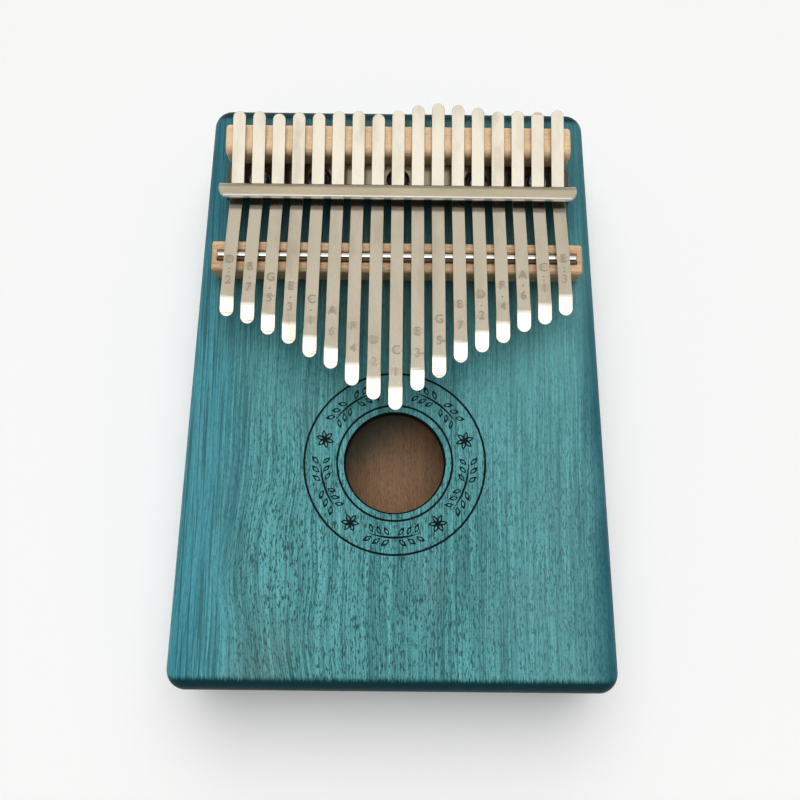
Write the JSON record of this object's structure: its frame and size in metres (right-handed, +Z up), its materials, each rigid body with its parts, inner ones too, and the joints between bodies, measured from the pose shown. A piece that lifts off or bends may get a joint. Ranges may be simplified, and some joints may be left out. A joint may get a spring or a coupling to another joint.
{
  "type": "mbira",
  "caption": "Box mbira: tapered hollow dyed-mahogany box with a sound hole, and flat steel tines clamped by a slotted bracket between a wooden rear bridge and a rod-topped front bridge.",
  "frame": {"origin": "on the resting surface under the middle of the sound box's plan", "axes": "+Y along the box towards the head where the tines are clamped, +X across the tines to the player's right, +Z up from the back through the deck"},
  "size_m": [0.134, 0.185, 0.0457],
  "materials": {
    "dyed_mahogany": "teal-dyed open-grain mahogany, satin oiled, darker on the rounded edges",
    "plain_mahogany": "bare sawn mahogany",
    "bridge_wood": "bare light close-grained hardwood, sanded smooth",
    "polished_rod": "polished steel rod",
    "nickel_plate": "warm nickel plate, fine brushed, bright on the edge of the lip",
    "screw_steel": "bright zinc-plated cross-recess screw",
    "tine_steel": "nickel-plated spring steel, brushed along its length, note marks engraved near the tip"
  },
  "bodies": {
    "sound_box": {"top_plate": "dyed_mahogany", "side_rim": "dyed_mahogany", "back_plate": "dyed_mahogany", "brace_block": "plain_mahogany", "front_bridge": "bridge_wood", "rear_bridge": "bridge_wood", "saddle_rod": "polished_rod", "clamp_bracket": "nickel_plate", "clamp_screw_1": "screw_steel", "clamp_screw_2": "screw_steel", "clamp_screw_3": "screw_steel", "clamp_screw_4": "screw_steel", "clamp_screw_5": "screw_steel"},
    "tine_01_D6": {"tine_01_D6_root": "tine_steel"},
    "tongue_01_D6": {"tine_01_D6_tongue": "tine_steel"},
    "tine_02_B5": {"tine_02_B5_root": "tine_steel"},
    "tongue_02_B5": {"tine_02_B5_tongue": "tine_steel"},
    "tine_03_G5": {"tine_03_G5_root": "tine_steel"},
    "tongue_03_G5": {"tine_03_G5_tongue": "tine_steel"},
    "tine_04_E5": {"tine_04_E5_root": "tine_steel"},
    "tongue_04_E5": {"tine_04_E5_tongue": "tine_steel"},
    "tine_05_C5": {"tine_05_C5_root": "tine_steel"},
    "tongue_05_C5": {"tine_05_C5_tongue": "tine_steel"},
    "tine_06_A4": {"tine_06_A4_root": "tine_steel"},
    "tongue_06_A4": {"tine_06_A4_tongue": "tine_steel"},
    "tine_07_F4": {"tine_07_F4_root": "tine_steel"},
    "tongue_07_F4": {"tine_07_F4_tongue": "tine_steel"},
    "tine_08_D4": {"tine_08_D4_root": "tine_steel"},
    "tongue_08_D4": {"tine_08_D4_tongue": "tine_steel"},
    "tine_09_C4": {"tine_09_C4_root": "tine_steel"},
    "tongue_09_C4": {"tine_09_C4_tongue": "tine_steel"},
    "tine_10_E4": {"tine_10_E4_root": "tine_steel"},
    "tongue_10_E4": {"tine_10_E4_tongue": "tine_steel"},
    "tine_11_G4": {"tine_11_G4_root": "tine_steel"},
    "tongue_11_G4": {"tine_11_G4_tongue": "tine_steel"},
    "tine_12_B4": {"tine_12_B4_root": "tine_steel"},
    "tongue_12_B4": {"tine_12_B4_tongue": "tine_steel"},
    "tine_13_D5": {"tine_13_D5_root": "tine_steel"},
    "tongue_13_D5": {"tine_13_D5_tongue": "tine_steel"},
    "tine_14_F5": {"tine_14_F5_root": "tine_steel"},
    "tongue_14_F5": {"tine_14_F5_tongue": "tine_steel"},
    "tine_15_A5": {"tine_15_A5_root": "tine_steel"},
    "tongue_15_A5": {"tine_15_A5_tongue": "tine_steel"},
    "tine_16_C6": {"tine_16_C6_root": "tine_steel"},
    "tongue_16_C6": {"tine_16_C6_tongue": "tine_steel"},
    "tine_17_E6": {"tine_17_E6_root": "tine_steel"},
    "tongue_17_E6": {"tine_17_E6_tongue": "tine_steel"}
  },
  "joints": [
    {"name": "tune_01_D6", "type": "slide", "parent": "sound_box", "child": "tine_01_D6", "axis": [0.0168, 0.9999, 0], "range_m": [-0.001, 0.001]},
    {"name": "pluck_01_D6", "type": "hinge", "parent": "tine_01_D6", "child": "tongue_01_D6", "pos_m": [-0.05093, 0.038, 0.04228], "axis": [0.9999, -0.0168, 0], "range_deg": [-0.6, 0.6], "stiffness_Nm_per_rad": 8.45},
    {"name": "tune_02_B5", "type": "slide", "parent": "sound_box", "child": "tine_02_B5", "axis": [0.0147, 0.9999, 0], "range_m": [-0.001, 0.001]},
    {"name": "pluck_02_B5", "type": "hinge", "parent": "tine_02_B5", "child": "tongue_02_B5", "pos_m": [-0.04456, 0.038, 0.04228], "axis": [0.9999, -0.0147, 0], "range_deg": [-0.7, 0.7], "stiffness_Nm_per_rad": 7.59},
    {"name": "tune_03_G5", "type": "slide", "parent": "sound_box", "child": "tine_03_G5", "axis": [0.0126, 0.9999, 0], "range_m": [-0.001, 0.001]},
    {"name": "pluck_03_G5", "type": "hinge", "parent": "tine_03_G5", "child": "tongue_03_G5", "pos_m": [-0.0382, 0.038, 0.04228], "axis": [0.9999, -0.0126, 0], "range_deg": [-0.9, 0.9], "stiffness_Nm_per_rad": 6.6},
    {"name": "tune_04_E5", "type": "slide", "parent": "sound_box", "child": "tine_04_E5", "axis": [0.0105, 0.9999, 0], "range_m": [-0.001, 0.001]},
    {"name": "pluck_04_E5", "type": "hinge", "parent": "tine_04_E5", "child": "tongue_04_E5", "pos_m": [-0.03183, 0.038, 0.04228], "axis": [0.9999, -0.0105, 0], "range_deg": [-1.1, 1.1], "stiffness_Nm_per_rad": 5.96},
    {"name": "tune_05_C5", "type": "slide", "parent": "sound_box", "child": "tine_05_C5", "axis": [0.0084, 1, 0], "range_m": [-0.001, 0.001]},
    {"name": "pluck_05_C5", "type": "hinge", "parent": "tine_05_C5", "child": "tongue_05_C5", "pos_m": [-0.02546, 0.038, 0.04228], "axis": [1, -0.0084, 0], "range_deg": [-1.4, 1.4], "stiffness_Nm_per_rad": 5.21},
    {"name": "tune_06_A4", "type": "slide", "parent": "sound_box", "child": "tine_06_A4", "axis": [0.0063, 1, 0], "range_m": [-0.001, 0.001]},
    {"name": "pluck_06_A4", "type": "hinge", "parent": "tine_06_A4", "child": "tongue_06_A4", "pos_m": [-0.0191, 0.038, 0.04228], "axis": [1, -0.0063, 0], "range_deg": [-1.8, 1.8], "stiffness_Nm_per_rad": 4.72},
    {"name": "tune_07_F4", "type": "slide", "parent": "sound_box", "child": "tine_07_F4", "axis": [0.0042, 1, 0], "range_m": [-0.001, 0.001]},
    {"name": "pluck_07_F4", "type": "hinge", "parent": "tine_07_F4", "child": "tongue_07_F4", "pos_m": [-0.01273, 0.038, 0.04228], "axis": [1, -0.0042, 0], "range_deg": [-2.3, 2.3], "stiffness_Nm_per_rad": 4.14},
    {"name": "tune_08_D4", "type": "slide", "parent": "sound_box", "child": "tine_08_D4", "axis": [0.0021, 1, 0], "range_m": [-0.001, 0.001]},
    {"name": "pluck_08_D4", "type": "hinge", "parent": "tine_08_D4", "child": "tongue_08_D4", "pos_m": [-0.00637, 0.038, 0.04228], "axis": [1, -0.0021, 0], "range_deg": [-2.8, 2.8], "stiffness_Nm_per_rad": 3.76},
    {"name": "tune_09_C4", "type": "slide", "parent": "sound_box", "child": "tine_09_C4", "axis": [0, 1, 0], "range_m": [-0.001, 0.001]},
    {"name": "pluck_09_C4", "type": "hinge", "parent": "tine_09_C4", "child": "tongue_09_C4", "pos_m": [0, 0.038, 0.04228], "axis": [1, 0, 0], "range_deg": [-3.2, 3.2], "stiffness_Nm_per_rad": 3.53},
    {"name": "tune_10_E4", "type": "slide", "parent": "sound_box", "child": "tine_10_E4", "axis": [-0.0021, 1, 0], "range_m": [-0.001, 0.001]},
    {"name": "pluck_10_E4", "type": "hinge", "parent": "tine_10_E4", "child": "tongue_10_E4", "pos_m": [0.00637, 0.038, 0.04228], "axis": [1, 0.0021, 0], "range_deg": [-2.4, 2.4], "stiffness_Nm_per_rad": 4.01},
    {"name": "tune_11_G4", "type": "slide", "parent": "sound_box", "child": "tine_11_G4", "axis": [-0.0042, 1, 0], "range_m": [-0.001, 0.001]},
    {"name": "pluck_11_G4", "type": "hinge", "parent": "tine_11_G4", "child": "tongue_11_G4", "pos_m": [0.01273, 0.038, 0.04228], "axis": [1, 0.0042, 0], "range_deg": [-2, 2], "stiffness_Nm_per_rad": 4.42},
    {"name": "tune_12_B4", "type": "slide", "parent": "sound_box", "child": "tine_12_B4", "axis": [-0.0063, 1, 0], "range_m": [-0.001, 0.001]},
    {"name": "pluck_12_B4", "type": "hinge", "parent": "tine_12_B4", "child": "tongue_12_B4", "pos_m": [0.0191, 0.038, 0.04228], "axis": [1, 0.0063, 0], "range_deg": [-1.5, 1.5], "stiffness_Nm_per_rad": 5.04},
    {"name": "tune_13_D5", "type": "slide", "parent": "sound_box", "child": "tine_13_D5", "axis": [-0.0084, 1, 0], "range_m": [-0.001, 0.001]},
    {"name": "pluck_13_D5", "type": "hinge", "parent": "tine_13_D5", "child": "tongue_13_D5", "pos_m": [0.02546, 0.038, 0.04228], "axis": [1, 0.0084, 0], "range_deg": [-1.3, 1.3], "stiffness_Nm_per_rad": 5.57},
    {"name": "tune_14_F5", "type": "slide", "parent": "sound_box", "child": "tine_14_F5", "axis": [-0.0105, 0.9999, 0], "range_m": [-0.001, 0.001]},
    {"name": "pluck_14_F5", "type": "hinge", "parent": "tine_14_F5", "child": "tongue_14_F5", "pos_m": [0.03183, 0.038, 0.04228], "axis": [0.9999, 0.0105, 0], "range_deg": [-1, 1], "stiffness_Nm_per_rad": 6.17},
    {"name": "tune_15_A5", "type": "slide", "parent": "sound_box", "child": "tine_15_A5", "axis": [-0.0126, 0.9999, 0], "range_m": [-0.001, 0.001]},
    {"name": "pluck_15_A5", "type": "hinge", "parent": "tine_15_A5", "child": "tongue_15_A5", "pos_m": [0.0382, 0.038, 0.04228], "axis": [0.9999, 0.0126, 0], "range_deg": [-0.8, 0.8], "stiffness_Nm_per_rad": 7.08},
    {"name": "tune_16_C6", "type": "slide", "parent": "sound_box", "child": "tine_16_C6", "axis": [-0.0147, 0.9999, 0], "range_m": [-0.001, 0.001]},
    {"name": "pluck_16_C6", "type": "hinge", "parent": "tine_16_C6", "child": "tongue_16_C6", "pos_m": [0.04456, 0.038, 0.04228], "axis": [0.9999, 0.0147, 0], "range_deg": [-0.6, 0.6], "stiffness_Nm_per_rad": 7.87},
    {"name": "tune_17_E6", "type": "slide", "parent": "sound_box", "child": "tine_17_E6", "axis": [-0.0168, 0.9999, 0], "range_m": [-0.001, 0.001]},
    {"name": "pluck_17_E6", "type": "hinge", "parent": "tine_17_E6", "child": "tongue_17_E6", "pos_m": [0.05093, 0.038, 0.04228], "axis": [0.9999, 0.0168, 0], "range_deg": [-0.5, 0.5], "stiffness_Nm_per_rad": 9.08}
  ]
}
